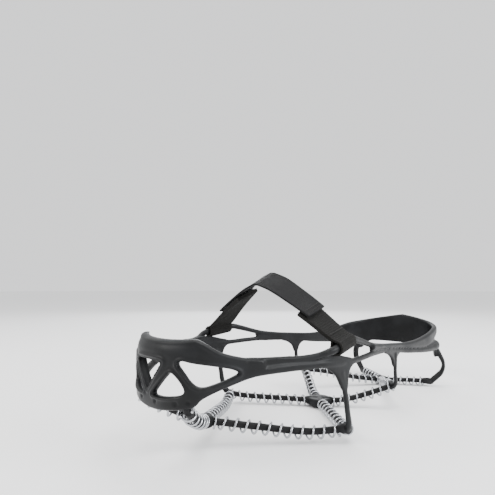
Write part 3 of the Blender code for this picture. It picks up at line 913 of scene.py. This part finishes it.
joints = {
    "toe_joint": {"centre": "toeJoint", "radius": 4.9, "half": 3.6,
                  "arms": ("toe_stub", "toe_run")},
    "centre_hub": {"centre": "hub", "radius": 9.6, "half": 3.0,
                   "arms": ("front_run", "arch_run")},
    "rear_joint": {"centre": "rearJoint", "radius": 4.9, "half": 3.6,
                   "arms": ("rear_run", "heel_run")},
    "edge": 1.2, "armRoot": 4.0, "armTaper": 0.9, "armOverlap": 0.2, "armSteps": 4,
    # the round stud under the hub
    "button": {"radius": 6.4, "drop": 2.2, "rise": 2.0, "sunk": 2, "edge": 0.8},
    "skin": {"voxel": 0.45, "smoothing": 6, "factor": 0.5},
}


def disc(name, centre, radius, depth, edge):
    bpy.ops.mesh.primitive_cylinder_add(vertices=48, radius=radius * mm, depth=depth * mm,
                                        location=centre * mm)
    obj = bpy.context.object
    obj.name = name
    editAll(obj, lambda: bpy.ops.mesh.bevel(offset=edge * mm, segments=3))
    return settle(obj)


def makeJoint(name):
    facts = joints[name]
    centre = Vector(under[facts["centre"]])
    parts = [disc(name, centre, facts["radius"], 2 * facts["half"], joints["edge"])]
    steps = joints["armSteps"]
    radii = [joints["armRoot"] - joints["armTaper"] * (k / steps) for k in range(steps + 1)]
    for arm in facts["arms"]:
        route, start, end = routes()[arm]
        for side in (-1, 1):
            path = onSide(route, side)
            if (path[0] - centre).length > 1:
                path = path[::-1]
                start = end
            lengths = lengthsOf(path)
            reach = start + joints["armOverlap"]
            points = [pointAt(path, lengths, reach * k / steps)[0] for k in range(steps + 1)]
            parts.append(tube(f"{name}Arm", points, radii, 4, finish["moulded"]))
    if name == "centre_hub":
        stud = joints["button"]
        low = stud["rise"] - facts["half"] - stud["drop"] / 2
        parts.append(disc("hubButton", centre + Vector((0, 0, low)), stud["radius"],
                          stud["drop"] + stud["sunk"], stud["edge"]))
    obj = addSkin(joinAll(f"{name}_moulding", parts), joints["skin"])
    dress(obj, finish["moulded"])
    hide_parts(name)
    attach(obj, "heel" if name == "rear_joint" else "harness")


makeCords()
for jointName in ("toe_joint", "centre_hub", "rear_joint"):
    makeJoint(jointName)
print("joints done")

# The instep strap: s runs along the arch from the bar on the right, t across it

strap = {
    "arch": [(62.5, 62.7), (52.5, 69.6), (40, 78.6), (27, 86.8), (12, 95.4), (0, 99.7)],
    "middle": -60, "lean": 0.2, "tilt": 0.3, "tiltFrom": 68, "tiltFull": 99.7,
    "rise": 0.146, "width": 21, "ply": 1.45, "loopThick": 1.25, "across": 14,
    "ribPitch": 1.7, "ribHeight": 0.26, "ribStep": 0.21, "plainStep": 0.9,
    "edge": 0.35, "edgeShare": 0.3,
    # the fold round a bar, then the end of each fold and the heights of its two plies
    "barGap": 0.75, "barRadius": 2.5, "foldStart": 5.0, "foldSteps": 28,
    "strapFold": (34, 0.4, 3.4), "tabFold": (52, 0.35, 3.3),
    # distance from each bar, height above the arch, thickness
    "top": (26, 26, 5.3, 1.5), "topCrown": 0.25,
    # both distances from the tab's bar
    "hookPatch": (50, 27, 3.95, 0.7), "loopPatch": (51, 20, 3.35, 0.5), "patchInset": 2,
    # distance along the arch, height above it and body of each seam
    "seams": [(8.5, 3.85, "strap"), (28, 6.2, "strap"), (30.5, 6.2, "strap"), (8.5, 3.75, "tab"),
              (11, 3.75, "tab")],
    "seamShare": 0.86,
    "stitch": {"count": 9, "radius": 0.28, "share": 0.72, "edge": 0.12},
}


def archPath():
    half = smoothPath(strap["arch"], 8)
    return half + [Vector((-p.x, p.y, 0)) for p in reversed(half[:-1])]


archLine = archPath()
archLengths = lengthsOf(archLine)
archTotal = archLengths[-1]


def archFrame(s):
    place, along = pointAt(archLine, archLengths, s)
    outward = Vector((along.y, -along.x, 0))
    if outward.dot(place - Vector((0, 60, 0))) < 0:
        outward = -outward
    return place, outward


def strapPlace(xz, t):
    # a point of the strap: its place in the front view, moved across the strap by t
    x, z = xz.x, xz.y
    rise = min(1, max(0, (z - strap["tiltFrom"]) / (strap["tiltFull"] - strap["tiltFrom"])))
    angle = strap["tilt"] * rise + strap["rise"]
    y = strap["middle"] - strap["lean"] * max(0, z - strap["tiltFrom"]) + t * math.cos(angle)
    return (x - strap["rise"] * t * x / strap["arch"][0][0], y, z + t * math.sin(angle))


def tape(name, path, width, thick, material, ribs=0.0, crown=0.0, side=1):
    # a strip of webbing whose middle follows a path in the front view
    lengths = lengthsOf(path)
    count = round(lengths[-1] / (strap["ribStep"] if ribs else strap["plainStep"]))
    bpy.ops.mesh.primitive_grid_add(x_subdivisions=count, y_subdivisions=strap["across"], size=1)
    obj = bpy.context.object
    obj.name = obj.data.name = name
    flat = readVerts(obj) * mm
    points = []
    for x, y, _ in flat:
        s, t = (x + 0.5) * lengths[-1], y * width
        place, along = pointAt(path, lengths, s)
        outward = Vector((-along.y, along.x, 0)) * side
        lift = abs(math.sin(math.pi * s / strap["ribPitch"])) * ribs - crown * (2 * y) ** 4
        points.append(strapPlace(place + outward * lift, t))
    writeVerts(obj, np.array(points))
    layer = obj.data.uv_layers.active or obj.data.uv_layers.new(name="UVMap")
    for loop in obj.data.loops:
        x, y, _ = flat[loop.vertex_index]
        layer.data[loop.index].uv = ((x + 0.5) * lengths[-1], y * width)
    solid = obj.modifiers.new("thickness", "SOLIDIFY")
    solid.thickness = thick * mm
    solid.offset = 0
    edge = obj.modifiers.new("softEdge", "BEVEL")
    edge.width = min(strap["edge"], thick * strap["edgeShare"]) * mm
    edge.segments = 2
    edge.limit_method = "ANGLE"
    edge.angle_limit = math.radians(55)
    applyAll(obj)
    editAll(obj, fixNormals)
    return dress(obj, material, 60)


def layerPath(start, end, height, steps):
    made = []
    for k in range(steps + 1):
        place, outward = archFrame(start + (end - start) * k / steps)
        made.append(place + outward * height)
    return made


def loopPath(end, low, high):
    # up the arch on the inside, round the bar and back up on the outside, one ply each
    centre = Vector((*strap["arch"][0], 0))
    ply = strap["ply"]
    ring = strap["barRadius"] + strap["barGap"] + ply / 2
    start, steps = strap["foldStart"], strap["foldSteps"]
    inner = layerPath(end, start, low + ply / 2, 40)
    outer = layerPath(start, end, high - ply / 2, 40)
    first = math.atan2(inner[-1].y - centre.y, inner[-1].x - centre.x)
    last = math.atan2(outer[0].y - centre.y, outer[0].x - centre.x)
    if last > first:
        last -= 2 * math.pi
    sweep = last - first
    # the long way round, under the bar
    if abs(sweep) < math.pi:
        sweep += 2 * math.pi if sweep < 0 else -2 * math.pi
    angles = [first + sweep * k / steps for k in range(2, steps - 1)]
    turn = [centre + Vector((math.cos(angle), math.sin(angle), 0)) * ring for angle in angles]
    return inner + turn + outer


def stitchRow(name, arch, height, width):
    # short raised threads in a row across the strap
    facts = strap["stitch"]
    pitch = width / facts["count"]
    place, outward = archFrame(arch)
    stitches = []
    for k in range(facts["count"]):
        at = strapPlace(place + outward * height, (k + 0.5 - facts["count"] / 2) * pitch)
        bpy.ops.mesh.primitive_cylinder_add(vertices=8, radius=facts["radius"] * mm,
                                            depth=pitch * facts["share"] * mm)
        stitch = bpy.context.object
        stitch.location = Vector(at) * mm
        stitch.rotation_euler = (math.radians(90) - strap["rise"], 0, 0)
        editAll(stitch, lambda: bpy.ops.mesh.bevel(offset=facts["edge"] * mm, segments=2))
        stitches.append(settle(stitch))
    return dress(joinAll(name, stitches), finish["thread"], 60)


def flip(path):
    return [Vector((-p.x, p.y, 0)) for p in path]


def patch(name, facts, material):
    far, near, height, thick = facts
    path = layerPath(archTotal - far, archTotal - near, height, 30)
    return tape(name, path, strap["width"] - strap["patchInset"], thick, material)


def makeStrap():
    width, ribs = strap["width"], strap["ribHeight"]
    tail = tape("strap_loop_webbing", loopPath(*strap["strapFold"]), width, strap["loopThick"],
                finish["webbing"], ribs)
    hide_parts("strap_end_loop")
    tab = tape("tab_loop_webbing", flip(loopPath(*strap["tabFold"])), width, strap["loopThick"],
               finish["webbing"], ribs, side=-1)
    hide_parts("tab_end_loop")
    start, left, height, thick = strap["top"]
    top = tape("instep_strap_top", layerPath(start, archTotal - left, height, 140), width, thick,
               finish["strap"], crown=strap["topCrown"])
    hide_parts("instep_strap")
    hook = patch("hook_patch", strap["hookPatch"], finish["hook"])
    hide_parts("hook_tape")
    loop = patch("loop_patch", strap["loopPatch"], finish["loop"])
    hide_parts("loop_tape")
    for number, (arch, height, body) in enumerate(strap["seams"]):
        at = arch if body == "strap" else archTotal - arch
        row = stitchRow(f"seam_{number}", at, height, width * strap["seamShare"])
        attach(row, body)
    for piece, body, slot in (
            (tail, "strap", "webbing"), (top, "strap", "webbing"),
            (hook, "strap", "hook_and_loop"), (tab, "tab", "webbing"),
            (loop, "tab", "hook_and_loop")):
        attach(piece, body)
    print("strap done")


makeStrap()
